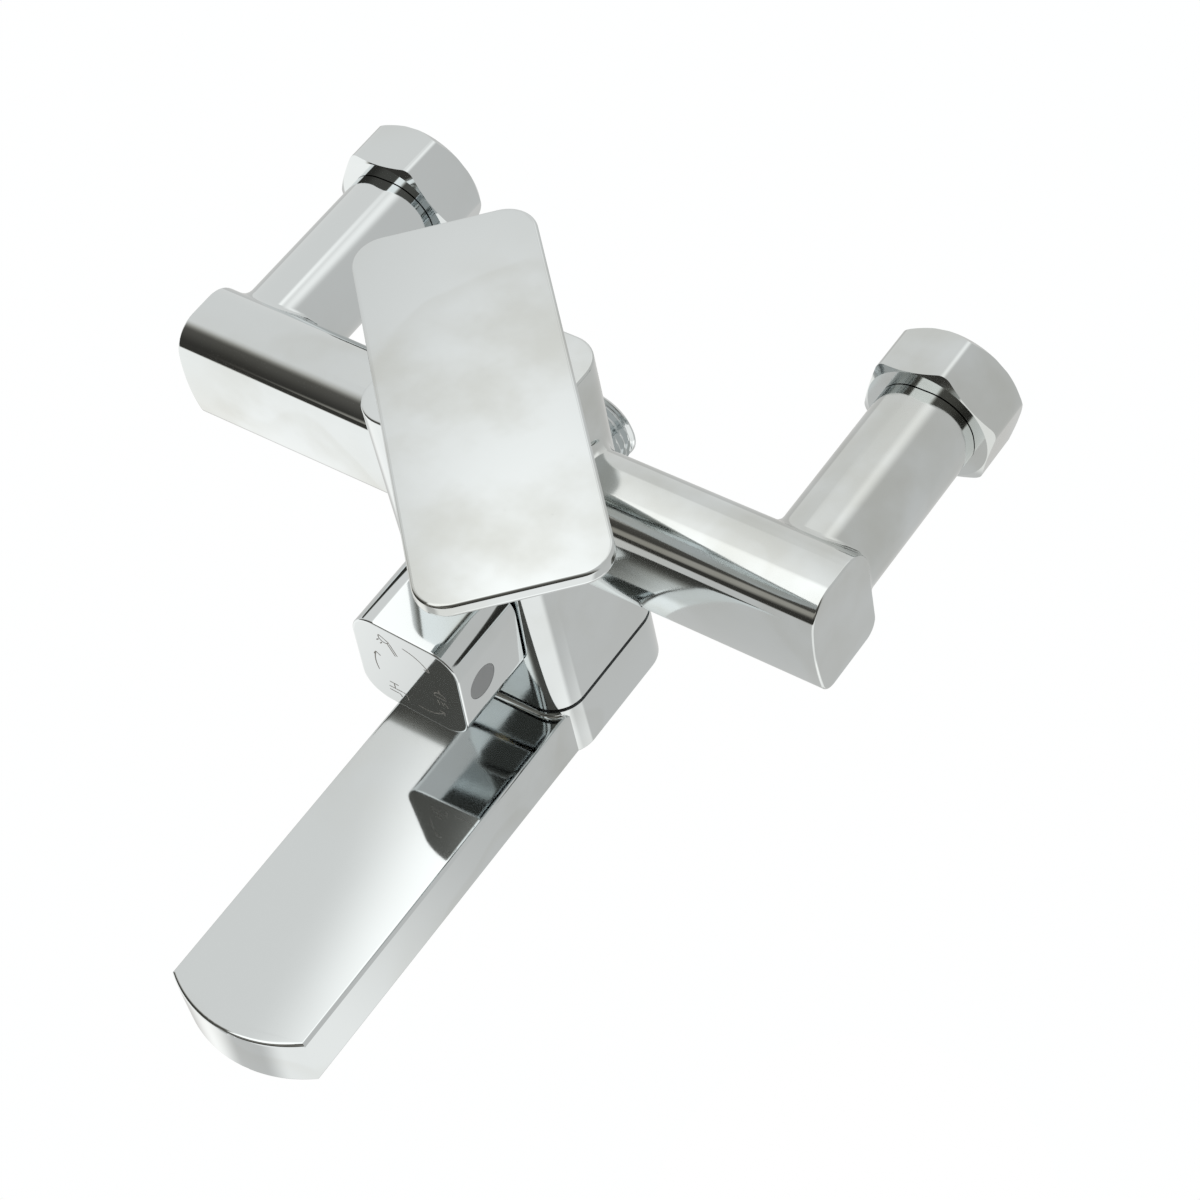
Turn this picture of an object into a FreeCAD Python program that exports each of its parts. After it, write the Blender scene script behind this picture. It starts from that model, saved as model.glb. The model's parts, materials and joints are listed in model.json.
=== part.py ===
"""Wall mounted bath mixer: a parametric FreeCAD document, one labelled object per physical piece.

Frame, in millimetres: X runs from the left inlet to the right one, +Y points at the wall and +Z up.
The origin is midway between the two inlet axes, on the plane where the union nuts end at the wall.
"""
import FreeCAD, Part
import math
import os
import re

Vector = FreeCAD.Vector
Rotation = FreeCAD.Rotation

# Driving dimensions. Names ending in _y or _z are places, the others are sizes.
SIZES = {
    # body casting
    "inlet_spacing": 150.0,
    "arm_width": 24.0,
    "arm_height": 22.2,
    "arm_corner": 10.3,
    "arm_end_y": -14.4,
    "bar_length": 175.2,
    "bar_front_y": -80.5,
    "bar_depth": 22.5,
    "bar_bottom_z": -15.4,
    "bar_height": 29.2,
    "bar_crown": 62.0,
    "bar_corner": 4.2,
    "bar_shoulder": 8.0,
    "bar_end_round": 0.5,
    "blend_radius": 3.0,
    "column_width": 41.2,
    "column_front_y": -92.1,
    "column_depth": 40.7,
    "column_corner": 8.0,
    "column_top_z": 34.0,
    "column_bottom_z": -52.0,
    "column_y": -71.75,
    "channel_bore": 4.5,
    "channel_y": -69.95,
    "channel_z": -3.5,
    "arm_bore": 7.5,
    # cartridge, on the column's axis
    "seat_z": 2.0,
    "cartridge_bore": 17.7,
    "port_bore": 3.4,
    "port_offset": 6.5,
    "outlet_offset": 8.0,
    "pivot_z": 20.0,
    "stem_width": 8.0,
    "rotor_radius": 15.5,
    "neck_radius": 11.5,
    # lever
    "lever_angle": -45.0,
    "lever_tail": 25.5,
    "lever_length": 105.5,
    "lever_width": 40.6,
    "lever_corner": 7.5,
    "lever_bottom_z": 53.0,
    "lever_thick": 4.0,
    "hub_radius": 13.0,
    "dome_radius": 23.5,
    "dome_wall": 1.6,
    "dome_hole": 12.7,
    "lever_screw_z": 46.0,
    # diverter, along Y
    "diverter_z": -22.0,
    "diverter_bore": 12.0,
    "diverter_end_y": -62.0,
    "knob_width": 29.4,
    "knob_corner": 7.0,
    "knob_front_y": -114.7,
    "knob_back_y": -92.7,
    "knob_screw_y": -107.3,
    "knob_turn": 4.0,
    "plug_radius": 4.4,
    "spindle_radius": 4.0,
    # hose outlet, G1/2 male
    "hose_z": -13.4,
    "hose_radius": 10.478,
    "hose_end_y": -37.3,
    "hose_bore": 6.5,
    # wall unions, G3/4
    "nut_flats": 31.0,
    "nut_length": 14.2,
    "nut_round": 3.5,
    "nut_thread": 12.06,
    "nut_thread_length": 7.0,
    "nut_relief": 12.4,
    "nut_web": 2.9,
    "tail_neck": 9.8,
    "tail_tube": 8.3,
    "tail_bore": 6.5,
    "flange_radius": 11.7,
    "flange_thick": 2.0,
    "washer_thick": 2.0,
    # swivel and spout
    "swivel_gap": 1.2,
    "swivel_radius": 11.0,
    "spout_top_z": -54.8,
    "spout_bottom_z": -69.8,
    "spout_width": 38.3,
    "spout_tip_y": -196.0,
    "spout_tip_radius": 32.8,
    "spout_screw_z": -59.7,
    "aerator_y": -181.0,
    "aerator_bore": 11.0,
}

LEFT_RIGHT = {"left": -1, "right": 1}
NUT_TURN = {"left": -5.0, "right": -13.0}      # degrees that each loose nut happens to stand turned
OVERRUN = 1.0                                # how far a cutter runs past the face it opens

doc = FreeCAD.newDocument("bath_mixer")
sheet = doc.addObject("Spreadsheet::Sheet", "Dims")
for row, (alias, value) in enumerate(SIZES.items(), start=1):
    sheet.set(f"A{row}", alias)
    sheet.set(f"B{row}", str(value))
    sheet.setAlias(f"B{row}", alias)
doc.recompute()

parts = []


def size(text):
    """Value of a formula in the sheet's aliases, worked out by a document object's own expression."""
    probe = doc.addObject("App::FeaturePython", "Probe")
    probe.addProperty("App::PropertyFloat", "Value")
    probe.setExpression("Value", bound(text))
    probe.recompute()
    value = probe.Value
    doc.removeObject(probe.Name)
    return value


def bound(text):
    """The formula with each alias written as the sheet's own cell."""
    return re.sub(r"[a-z_]+[a-z]", lambda m: f"Dims.{m.group(0)}" if m.group(0) in SIZES else m.group(0),
                  str(text))


def drive(obj, **formulas):
    """Bind properties of obj, such as Length or Radius, to formulas in the sheet's aliases."""
    for name, text in formulas.items():
        obj.setExpression(name, bound(text))


def put(obj, x=0, y=0, z=0, rotation=None):
    """Place obj at a point given by formulas, with an optional fixed rotation."""
    if rotation:
        obj.Placement = FreeCAD.Placement(Vector(), rotation)
    for axis, text in zip("xyz", (x, y, z)):
        obj.setExpression(f"Placement.Base.{axis}", bound(text))
    return obj


ALONG = {
    "+x": Rotation(Vector(0, 1, 0), 90),
    "-x": Rotation(Vector(0, 1, 0), -90),
    "+y": Rotation(Vector(1, 0, 0), -90),
    "-y": Rotation(Vector(1, 0, 0), 90),
    "+z": Rotation(),
    "-z": Rotation(Vector(1, 0, 0), 180),
}


def rod(radius, length, along="+z", x=0, y=0, z=0):
    """A cylinder that starts at a point and runs along one of the six directions."""
    obj = doc.addObject("Part::Cylinder", "Rod")
    drive(obj, Radius=radius, Height=length)
    return put(obj, x, y, z, ALONG[along])


def block(length, width, height, x=0, y=0, z=0):
    """A box whose lowest corner is at a point."""
    obj = doc.addObject("Part::Box", "Block")
    drive(obj, Length=length, Width=width, Height=height)
    return put(obj, x, y, z)


def ball(radius, x=0, y=0, z=0):
    obj = doc.addObject("Part::Sphere", "Ball")
    drive(obj, Radius=radius)
    return put(obj, x, y, z)


def cone(radius, top_radius, length, along="+z", x=0, y=0, z=0):
    obj = doc.addObject("Part::Cone", "Cone")
    drive(obj, Radius1=radius, Radius2=top_radius, Height=length)
    return put(obj, x, y, z, ALONG[along])


def hexagon(flats, length, along="+z", x=0, y=0, z=0, turn=0.0):
    """A hexagonal prism of the given width across flats, turned about its own axis."""
    obj = doc.addObject("Part::Prism", "Hexagon")
    obj.Polygon = 6
    drive(obj, Circumradius=f"({flats}) / sqrt(3)", Height=length)
    return put(obj, x, y, z, ALONG[along].multiply(Rotation(Vector(0, 0, 1), turn)))


def o_ring(major, minor, along="+z", x=0, y=0, z=0):
    obj = doc.addObject("Part::Torus", "Ring")
    drive(obj, Radius1=major, Radius2=minor)
    return put(obj, x, y, z, ALONG[along])


def joined(*pieces):
    if len(pieces) == 1:
        return pieces[0]
    obj = doc.addObject("Part::MultiFuse", "Joined")
    obj.Shapes = list(pieces)
    return obj


def cut(base, *tools):
    obj = doc.addObject("Part::Cut", "Cut")
    obj.Base = base
    obj.Tool = joined(*tools)
    return obj


def common(first, second):
    obj = doc.addObject("Part::Common", "Common")
    obj.Base = first
    obj.Tool = second
    return obj


def rounded(base, radius, chosen):
    """Fillet the edges of base for which chosen(edge) is true, all with one radius."""
    doc.recompute()
    picked = [i for i, edge in enumerate(base.Shape.Edges, start=1) if chosen(edge)]
    if not picked:
        raise RuntimeError("no edge to round on " + base.Name)
    obj = doc.addObject("Part::Fillet", "Rounded")
    obj.Base = base
    value = size(radius)
    obj.Edges = [(i, value, value) for i in picked]
    return obj


def straight_along(axis):
    """Test for straight edges that run along the given row axis, 0, 1 or 2."""
    def test(edge):
        box = edge.BoundBox
        spans = (box.XLength, box.YLength, box.ZLength)
        return spans[axis] > 1e-3 and all(s < 1e-3 for i, s in enumerate(spans) if i != axis)
    return test


def level_at(axis, *places):
    """Test for edges that lie wholly in a plane square to the given axis, at one of the places."""
    def test(edge):
        box = edge.BoundBox
        low, high = ((box.XMin, box.XMax), (box.YMin, box.YMax), (box.ZMin, box.ZMax))[axis]
        return high - low < 1e-3 and any(abs(low - p) < 1e-3 for p in places)
    return test


def long_edges_at(height):
    """Test for straight edges that run along X at the given height."""
    along_x, at_height = straight_along(0), level_at(2, size(height))

    def test(edge):
        return along_x(edge) and at_height(edge)
    return test


def tube(outer, inner, length, along="+z", x=0, y=0, z=0):
    """A plain ring or pipe."""
    return cut(rod(outer, length, along, x, y, z), rod(inner, length, along, x, y, z))


def squircle(width, depth, height, corner, x=0, y=0, z=0):
    """An upright prism with a rounded square plan, centred on x, with its front face at y."""
    return rounded(block(width, depth, height, f"{x} - ({width}) / 2", y, z), corner, straight_along(2))


def name_part(obj, label, placement=None):
    """Label obj as a finished piece; the label is its node's name."""
    obj.Label = label
    if placement is not None:
        obj.Placement = placement
    parts.append(obj)
    return obj


COLUMN_AXIS = Vector(0, SIZES["column_y"], 0)
LEVER_PLACE = FreeCAD.Placement(COLUMN_AXIS, Rotation(Vector(0, 0, 1), SIZES["lever_angle"]))
KNOB_PLACE = FreeCAD.Placement(Vector(), Rotation(Vector(0, 1, 0), SIZES["knob_turn"]),
                               Vector(0, 0, SIZES["diverter_z"]))


# ---------------------------------------------------------------- body casting
def where_the_bar_meets():
    """Test for the edges along which the crossbar meets the arms, at its rear, and the column's sides."""
    rear = size("bar_front_y + bar_depth")
    arm_inside, arm_outside = size("(inlet_spacing - arm_width) / 2"), size("(inlet_spacing + arm_width) / 2")
    column_side = size("column_width / 2")
    low, high = size("bar_bottom_z"), size("bar_bottom_z + bar_height")

    def test(edge):
        box = edge.BoundBox
        near, far = sorted((abs(box.XMin), abs(box.XMax)))
        on_arm = (rear - size("bar_shoulder") / 2 < box.YMin and box.YMax < rear + 0.01
                  and near > arm_inside - 0.01 and far < arm_outside + 0.01)
        on_column = (abs(near - column_side) < 1e-3 and abs(far - column_side) < 1e-3
                     and low - 0.1 < box.ZMin and box.ZMax < high + 0.1)
        return on_arm or on_column
    return test


def build_casting():
    """Column, crossbar and two arms in one casting, with its bores and waterways."""
    column = squircle("column_width", "column_depth", "column_top_z - column_bottom_z", "column_corner",
                      0, "column_front_y", "column_bottom_z")
    bar_block = block("bar_length", "bar_depth", "bar_height",
                      "-bar_length / 2", "bar_front_y", "bar_bottom_z")
    crown = rod("bar_crown", "bar_length", "+x", "-bar_length / 2",
                "bar_front_y + bar_crown", "bar_bottom_z + bar_height / 2")
    bar = rounded(common(bar_block, crown), "bar_shoulder", long_edges_at("bar_bottom_z + bar_height"))
    bar = rounded(bar, "bar_corner", long_edges_at("bar_bottom_z"))
    bar = rounded(bar, "bar_end_round", level_at(0, size("-bar_length / 2"), size("bar_length / 2")))
    outside = [column, bar]
    for sign in LEFT_RIGHT.values():
        arm = block("arm_width", "arm_end_y - channel_y", "arm_height",
                    f"{sign} * inlet_spacing / 2 - arm_width / 2", "channel_y",
                    "-arm_height / 2")
        outside.append(rounded(arm, "arm_corner", straight_along(1)))
    solid = rounded(joined(*outside), "blend_radius", where_the_bar_meets())
    solid = rounded(solid, "0.6", level_at(2, size("column_top_z")))
    bores = [
        rod("cartridge_bore", f"column_top_z - seat_z + {OVERRUN}", "+z", 0, "column_y", "seat_z"),
        rod("4", "seat_z - diverter_z", "+z", 0, "column_y - outlet_offset", "diverter_z"),
        rod("diverter_bore", f"diverter_end_y - column_front_y + {OVERRUN}", "+y",
            0, f"column_front_y - {OVERRUN}", "diverter_z"),
        rod("6.5", "diverter_z - column_bottom_z", "+z", 0, "column_y", "column_bottom_z"),
        rod("swivel_radius + 1", f"12 + {OVERRUN}", "+z", 0, "column_y", f"column_bottom_z - {OVERRUN}"),
        rod("6", "12", "+y", 0, "diverter_end_y - 1", "hose_z"),
        rod("9.4", f"8 + {OVERRUN}", "+y", 0, "column_front_y + column_depth - 8", "hose_z"),
    ]
    for side, sign in LEFT_RIGHT.items():
        way = "+x" if sign > 0 else "-x"
        bores += [
            rod("port_bore", "seat_z - channel_z", "+z", f"{sign} * port_offset", "column_y + 3", "channel_z"),
            rod("channel_bore", "inlet_spacing / 2 - 5", way, f"{sign} * 5", "channel_y", "channel_z"),
            rod("arm_bore", f"arm_end_y - channel_y + {OVERRUN}", "+y",
                f"{sign} * inlet_spacing / 2", "channel_y", 0),
            rod("tail_tube", f"12 + {OVERRUN}", "+y", f"{sign} * inlet_spacing / 2", "arm_end_y - 12", 0),
        ]
    return name_part(cut(solid, *bores), "body_casting")


# ---------------------------------------------------------------- wall unions
def build_union(side, sign):
    """Tail, rubber washer, strainer and hexagon nut that join one arm to a G3/4 wall outlet."""
    centre = f"{sign} * inlet_spacing / 2"
    flange_y = "-nut_thread_length - washer_thick - flange_thick"
    tail = cut(
        joined(rod("tail_tube", "12", "+y", centre, "arm_end_y - 12", 0),
               rod("tail_neck", f"({flange_y}) - arm_end_y", "+y", centre, "arm_end_y", 0),
               rod("flange_radius", "flange_thick", "+y", centre, flange_y, 0)),
        rod("tail_bore", "-arm_end_y + 12", "+y", centre, f"arm_end_y - 12 - {OVERRUN}", 0))
    name_part(tail, f"union_tail_{side}")
    washer_y = "-nut_thread_length - washer_thick"
    name_part(tube("flange_radius", "7", "washer_thick", "+y", centre, washer_y, 0), f"inlet_washer_{side}")
    holes = [rod("1.3", "0.8", "+y", f"{centre} + {4.2 * math.cos(math.radians(60 * i))}",
                 f"{washer_y} + 0.6", f"{4.2 * math.sin(math.radians(60 * i))}") for i in range(6)]
    holes.append(rod("1.3", "0.8", "+y", centre, f"{washer_y} + 0.6", 0))
    name_part(cut(rod("7", "0.8", "+y", centre, f"{washer_y} + 0.6", 0), *holes), f"inlet_strainer_{side}")

    hexagonal = hexagon("nut_flats", "nut_length", "+y", centre, "-nut_length", 0, NUT_TURN[side])
    hexagonal = rounded(hexagonal, "nut_round", straight_along(1))
    front_trim = cone("nut_flats / 2 - 0.2", "nut_flats / 2 - 0.2 + 2 * nut_length", "nut_length",
                      "+y", centre, "-nut_length", 0)
    back_trim = cone("nut_flats / 2 + 0.1", "nut_flats / 2 + 0.1 + nut_length", "nut_length",
                     "-y", centre, 0, 0)
    trimmed = common(common(hexagonal, front_trim), back_trim)
    nut = cut(trimmed,
              rod("nut_thread", f"nut_length - nut_web + {OVERRUN}", "-y", centre, OVERRUN, 0),
              rod("nut_relief", "nut_length - nut_web - nut_thread_length", "-y",
                  centre, "-nut_thread_length", 0),
              rod("tail_neck + 0.4", f"nut_length + {OVERRUN}", "-y", centre, 0, 0))
    name_part(nut, f"union_nut_{side}")


# ---------------------------------------------------------------- cartridge
def build_cartridge():
    """Single lever ceramic cartridge; the turning pieces stand at the lever's own angle."""
    def ports(low, height, radius):
        spots = [(-1, "port_offset", "column_y + 3"), (1, "port_offset", "column_y + 3"),
                 (0, "0", "column_y - outlet_offset")]
        return [rod(radius, height, "+z", f"{sign} * {x}", y, low) for sign, x, y in spots]

    base_z = "seat_z + 0.6"
    name_part(cut(rod("cartridge_bore - 0.3", "4.4", "+z", 0, "column_y", base_z),
                  *ports(base_z, "4.4", "port_bore")), "cartridge_base")
    rings = joined(*ports("seat_z", "0.6", "port_bore + 1.3"))
    name_part(cut(rings, *ports("seat_z", "0.6", "port_bore")), "cartridge_base_seals")
    name_part(cut(rod("12.5", "3", "+z", 0, "column_y", "seat_z + 5"),
                  *ports("seat_z + 5", "3", "port_bore - 0.6")), "fixed_ceramic_disc")

    moving = cut(rod("10", "2.75", "+z", 0, 0, "seat_z + 8.05"), rod("7.4", "1.2", "+z", 0, 0, "seat_z + 8.05"))
    name_part(moving, "moving_ceramic_disc", LEVER_PLACE)
    carrier = cut(rod("10", "2.2", "+z", 0, 0, "seat_z + 10.8"), rod("2.4", "2", "+z", 0, 0, "seat_z + 11.2"))
    name_part(carrier, "disc_carrier", LEVER_PLACE)

    rotor = joined(rod("rotor_radius", "10.6", "+z", 0, 0, "seat_z + 13.2"),
                   rod("neck_radius", "13", "+z", 0, 0, "seat_z + 13.2"))
    slot = block("15", "stem_width + 0.5", "14", "-7.5", "-(stem_width + 0.5) / 2", "seat_z + 12.8")
    pin_hole = rod("1.5", "23", "+y", 0, "-11.5", "pivot_z")
    name_part(cut(rotor, slot, pin_hole), "cartridge_rotor", LEVER_PLACE)
    pin = rounded(rod("1.5", "22", "+y", 0, "-11", "pivot_z"), "0.3", level_at(1, -11, 11))
    name_part(pin, "stem_pin", LEVER_PLACE)

    stem = joined(block("stem_width", "stem_width", "32.5", "-stem_width / 2", "-stem_width / 2", "16.5"),
                  rod("1.8", "4", "+z", 0, 0, "13.6"))
    stem = rounded(stem, "0.8", straight_along(2))
    name_part(cut(stem, rod("1.56", "stem_width", "+y", 0, "-stem_width / 2", "pivot_z")),
              "lever_stem", LEVER_PLACE)

    housing = cut(rod("cartridge_bore - 0.3", "20", "+z", 0, "column_y", "seat_z + 5"),
                  rod("rotor_radius + 0.3", "19", "+z", 0, "column_y", "seat_z + 5"),
                  rod("neck_radius + 0.5", "21", "+z", 0, "column_y", "seat_z + 5"))
    name_part(housing, "cartridge_housing")
    name_part(tube("16.5", "13", "1", "+z", 0, "column_y", "seat_z + 25"), "housing_seal")
    nut = cut(joined(rod("cartridge_bore - 0.15", "2.7", "+z", 0, "column_y", "seat_z + 26"),
                     rod("15.4", "5.4", "+z", 0, "column_y", "seat_z + 26")),
              rod("13", "5.4", "+z", 0, "column_y", "seat_z + 26"),
              block("34", "2.4", "3", "-17", "column_y - 1.2", "seat_z + 29.8"),
              block("2.4", "34", "3", "-1.2", "column_y - 17", "seat_z + 29.8"))
    name_part(nut, "cartridge_clamp_nut")

    pivot = (0, "column_y", "pivot_z")
    shell = cut(ball("dome_radius", *pivot), ball("dome_radius - dome_wall", *pivot),
                rod("dome_radius + 1", "2 * dome_radius", "-z", 0, "column_y", "column_top_z"),
                rod("dome_hole", "2 * dome_radius", "+z", 0, "column_y", "pivot_z"))
    skirt = tube("17.3", "15.6", "4.4", "+z", 0, "column_y", "column_top_z - 3")
    name_part(joined(shell, skirt), "dome_cover")


# ---------------------------------------------------------------- lever
def build_lever():
    """Flat lever plate on a round hub that slides over the dome, with its grub screw and plug."""
    plate = squircle("lever_length", "lever_width", "lever_thick", "lever_corner",
                     "lever_length / 2 - lever_tail", "-lever_width / 2", "lever_bottom_z")
    top = size("lever_bottom_z + lever_thick")
    plate = rounded(plate, "0.8", level_at(2, top))
    plate = rounded(plate, "1.8", level_at(2, size("lever_bottom_z")))
    hub = rod("hub_radius", "lever_bottom_z + 1 - pivot_z", "+z", 0, 0, "pivot_z")
    body = cut(joined(plate, hub),
               ball("dome_radius + 0.6", 0, 0, "pivot_z"),
               block("stem_width", "stem_width", "20", "-stem_width / 2", "-stem_width / 2", "29"),
               rod("2.5", "hub_radius", "-x", 0, 0, "lever_screw_z"),
               rod("3.4", "3", "-x", "-(hub_radius - 1.6)", 0, "lever_screw_z"))
    name_part(body, "lever_handle", LEVER_PLACE)
    screw = cut(rod("2.5", "6", "-x", "-stem_width / 2", 0, "lever_screw_z"),
                hexagon("2.5", "3", "-x", "-stem_width / 2 - 3", 0, "lever_screw_z"))
    name_part(screw, "lever_grub_screw", LEVER_PLACE)
    name_part(common(rod("3.4", "3", "-x", "-(hub_radius - 1.6)", 0, "lever_screw_z"),
                     rod("hub_radius", "20", "+z", 0, 0, "lever_screw_z - 10")), "lever_index_plug", LEVER_PLACE)


# ---------------------------------------------------------------- diverter
def build_diverter():
    """Turning ceramic diverter with its square knob; it lies along Y below the crossbar's centre."""
    def disc(radius, length, y):
        return rod(radius, length, "+y", 0, y, "diverter_z")

    bush = cut(joined(disc("diverter_bore", "27.6", "column_front_y"), disc("13.2", "1.7", "column_front_y - 1.7")),
               disc("spindle_radius + 0.08", "30", "column_front_y - 2"),
               disc("10.2", "7.5", "column_front_y + 20.1"),
               cut(disc("13", "1.5", "column_front_y + 8"), disc("10.6", "1.5", "column_front_y + 8")),
               block("4", "5", "30", "-2", "column_front_y + 21", "diverter_z - 15"),
               block("30", "5", "4", "-15", "column_front_y + 21", "diverter_z - 2"))
    name_part(bush, "diverter_bush")
    name_part(o_ring("11.28", "0.68", "+y", 0, "column_front_y + 8.75", "diverter_z"), "diverter_bush_oring")
    seat_y = "column_front_y + 27.6"
    seat = cut(disc("diverter_bore", "2.5", seat_y),
               rod("2.6", "2.5", "+y", 0, seat_y, "diverter_z + 6"),
               rod("2.6", "2.5", "+y", 0, seat_y, "diverter_z - 6"))
    name_part(seat, "diverter_seat_disc")
    turning = cut(disc("9.6", "2.6", f"{seat_y} - 2.65"),
                  block("20", "2.6", "5", "-10", f"{seat_y} - 2.65", "diverter_z + 5"))
    name_part(turning, "diverter_turning_disc")
    spindle = cut(joined(disc("7.5", "2.2", f"{seat_y} - 4.85"),
                         disc("spindle_radius", f"({seat_y}) - 4.85 - knob_front_y - 5", "knob_front_y + 5")),
                  cut(disc("6", "1.4", "column_front_y + 13.3"), disc("3.1", "1.4", "column_front_y + 13.3")),
                  cut(disc("6", "0.9", "column_front_y - 2.75"), disc("3.2", "0.9", "column_front_y - 2.75")))
    name_part(spindle, "diverter_spindle")
    name_part(o_ring("3.59", "0.47", "+y", 0, "column_front_y + 14", "diverter_z"), "diverter_spindle_oring")
    clip = cut(disc("5.6", "0.8", "column_front_y - 2.7"), disc("3.25", "0.8", "column_front_y - 2.7"),
               block("4", "0.8", "8", "-2", "column_front_y - 2.7", "diverter_z"))
    name_part(clip, "diverter_circlip")

    shell = rounded(block("knob_width", "knob_back_y - knob_front_y", "knob_width", "-knob_width / 2",
                          "knob_front_y", "diverter_z - knob_width / 2"), "knob_corner", straight_along(1))
    shell = rounded(shell, "0.5", level_at(1, size("knob_front_y"), size("knob_back_y")))
    knob = cut(shell,
               disc("13.4", "5.4", "knob_back_y - 5.4"),
               disc("spindle_radius + 0.03", "13.5", "knob_back_y - 18"),
               rod("2.5", "knob_width / 2", "+x", 0, "knob_screw_y", "diverter_z"),
               rod("plug_radius", "3", "+x", "knob_width / 2 - 2", "knob_screw_y", "diverter_z"))
    name_part(knob, "diverter_knob", KNOB_PLACE)
    name_part(cut(rod("2.5", "6", "+x", "spindle_radius", "knob_screw_y", "diverter_z"),
                  hexagon("2.5", "3", "+x", "spindle_radius + 3", "knob_screw_y", "diverter_z")),
              "knob_grub_screw", KNOB_PLACE)
    plug = rod("plug_radius", "2", "+x", "knob_width / 2 - 2", "knob_screw_y", "diverter_z")
    name_part(rounded(plug, "0.25", level_at(0, size("knob_width / 2"))), "knob_screw_plug", KNOB_PLACE)


# ---------------------------------------------------------------- hose outlet
def build_hose_outlet():
    """Nipple for the hand shower's hose, screwed into the back of the column."""
    back = "column_front_y + column_depth"
    nipple = cut(joined(rod("9.4", "7.4", "+y", 0, f"{back} - 7.4", "hose_z"),
                        cut(rod("hose_radius", f"hose_end_y - ({back})", "+y", 0, back, "hose_z"),
                            cut(rod("12", "1.2", "+y", 0, back, "hose_z"),
                                rod("9.2", "1.2", "+y", 0, back, "hose_z")))),
                 hexagon("12", "30", "+y", 0, f"{back} - 10", "hose_z"))
    name_part(nipple, "hose_nipple")
    name_part(tube("9.4", "hose_bore + 0.6", "0.6", "+y", 0, f"{back} - 8", "hose_z"), "nipple_seal")


# ---------------------------------------------------------------- swivel and spout
def build_spout():
    """Swivel tail under the column, and the flat spout that turns on it, with its aerator."""
    low_z = "spout_bottom_z + 3.5"
    grooves = [cut(rod("12", "1.5", "+z", 0, "column_y", z), rod("9.4", "1.5", "+z", 0, "column_y", z))
               for z in ("-56", "-65")]
    grooves.append(cut(rod("12", "5", "+z", 0, "column_y", "spout_screw_z - 2.5"),
                       rod("9.6", "5", "+z", 0, "column_y", "spout_screw_z - 2.5")))
    tail = cut(joined(rod("swivel_radius + 1", "12", "+z", 0, "column_y", "column_bottom_z"),
                      rod("swivel_radius - 0.08", f"column_bottom_z - ({low_z}) - 0.2", "-z",
                          0, "column_y", "column_bottom_z")),
               rod("7.5", "40", "+z", 0, "column_y", "column_bottom_z - 20"), *grooves)
    name_part(tail, "swivel_tail")
    name_part(joined(*[o_ring("10.2", "0.75", "+z", 0, "column_y", z) for z in ("-55.25", "-64.25")]),
              "swivel_orings")
    washer = cut(squircle("column_width - 1.4", "column_depth - 1.4", "swivel_gap", "column_corner - 0.7",
                          0, "column_front_y + 0.7", "column_bottom_z - swivel_gap"),
                 rod("swivel_radius + 0.2", "swivel_gap", "-z", 0, "column_y", "column_bottom_z"))
    name_part(washer, "swivel_washer")

    root_top = "column_bottom_z - swivel_gap - 0.05"
    root = squircle("column_width", "column_depth", f"{root_top} - spout_bottom_z", "column_corner",
                    0, "column_front_y", "spout_bottom_z")
    bar = block("spout_width", "column_y - spout_tip_y", "spout_top_z - spout_bottom_z",
                "-spout_width / 2", "spout_tip_y", "spout_bottom_z")
    tip = rod("spout_tip_radius", "60", "+z", 0, "spout_tip_y + spout_tip_radius", "spout_bottom_z - 10")
    behind = block("spout_width + 20", "200", "60", "-spout_width / 2 - 10",
                   "spout_tip_y + spout_tip_radius", "spout_bottom_z - 10")
    bar = common(bar, joined(tip, behind))
    outside = rounded(joined(root, bar), "0.9", level_at(2, size("spout_bottom_z"), size("spout_top_z")))
    hollow = [
        rod("swivel_radius", f"{root_top} - ({low_z}) + {OVERRUN}", "+z", 0, "column_y", low_z),
        block("26", "column_y - aerator_y", "8.3", "-13", "aerator_y", low_z),
        rod("aerator_bore", f"{low_z} - spout_bottom_z + 8.3 + {OVERRUN}", "+z",
            0, "aerator_y", f"spout_bottom_z - {OVERRUN}"),
        rod("2.2", "12", "+y", 0, "column_y + swivel_radius - 1", "spout_screw_z"),
    ]
    name_part(cut(outside, *hollow), "spout_casting")
    screw = cut(rod("2.2", "7", "+y", 0, "column_y + 9.8", "spout_screw_z"),
                hexagon("2", "3", "+y", 0, "column_y + 13.8", "spout_screw_z"))
    name_part(screw, "spout_grub_screw")

    name_part(cut(joined(rod("aerator_bore - 0.1", "7.8", "+z", 0, "aerator_y", "spout_bottom_z"),
                         rod("10", "0.8", "-z", 0, "aerator_y", "spout_bottom_z")),
                  rod("8.8", "20", "+z", 0, "aerator_y", "spout_bottom_z - 5")), "aerator_housing")
    cells = [rod("0.9", "6", "+z", f"{r * math.cos(math.radians(a))}",
                 f"aerator_y + {r * math.sin(math.radians(a))}", "spout_bottom_z + 0.4")
             for r, step in ((3.0, 60), (6.2, 30)) for a in range(0, 360, step)]
    name_part(cut(rod("8.8", "6", "+z", 0, "aerator_y", "spout_bottom_z + 0.4"), *cells), "aerator_insert")
    name_part(tube("aerator_bore - 0.1", "8", "1", "+z", 0, "aerator_y", "spout_bottom_z + 7.8"),
              "aerator_seal")


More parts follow.
